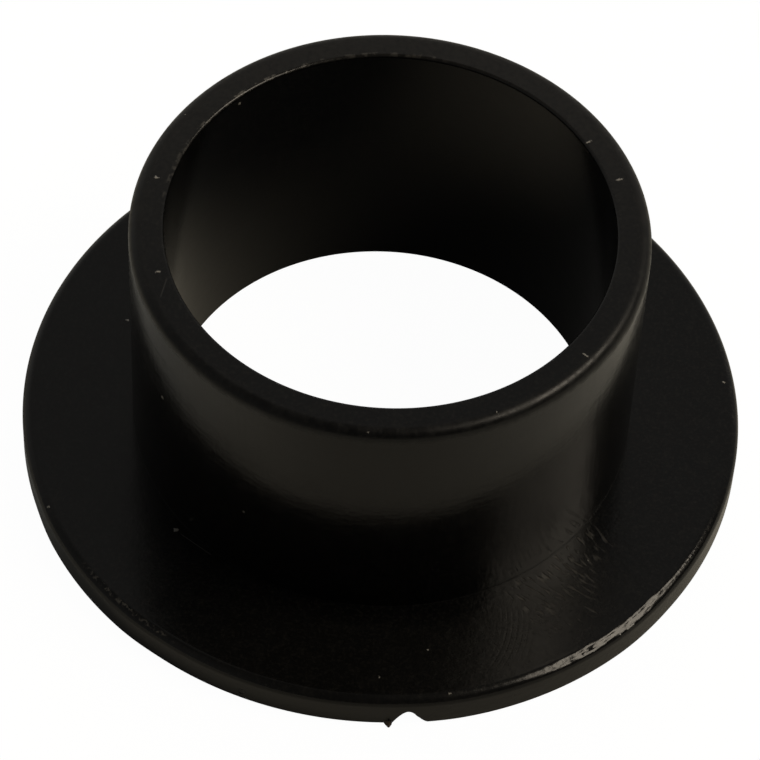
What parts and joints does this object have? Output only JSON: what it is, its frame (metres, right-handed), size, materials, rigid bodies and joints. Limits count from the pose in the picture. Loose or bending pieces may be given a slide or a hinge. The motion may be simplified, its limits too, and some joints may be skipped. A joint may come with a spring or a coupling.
{
  "type": "pedal bushing",
  "caption": "Flanged plain bushing of black moulded plastic: a short sleeve with a through bore on a thin round flange, which a pedal's hub is pressed over and a shaft turns in.",
  "frame": {"origin": "centre of the flange's flat underside, on the bore's axis", "axes": "+Z along the bore, from the flange to the sleeve's mouth; -Y is the side with the gate scar"},
  "size_m": [0.0266, 0.0269, 0.0116],
  "materials": {
    "black_plastic": "semi-gloss black, as moulded, with light handling scuffs"
  },
  "bodies": {
    "root": {"flanged_bushing": "black_plastic"}
  },
  "joints": []
}
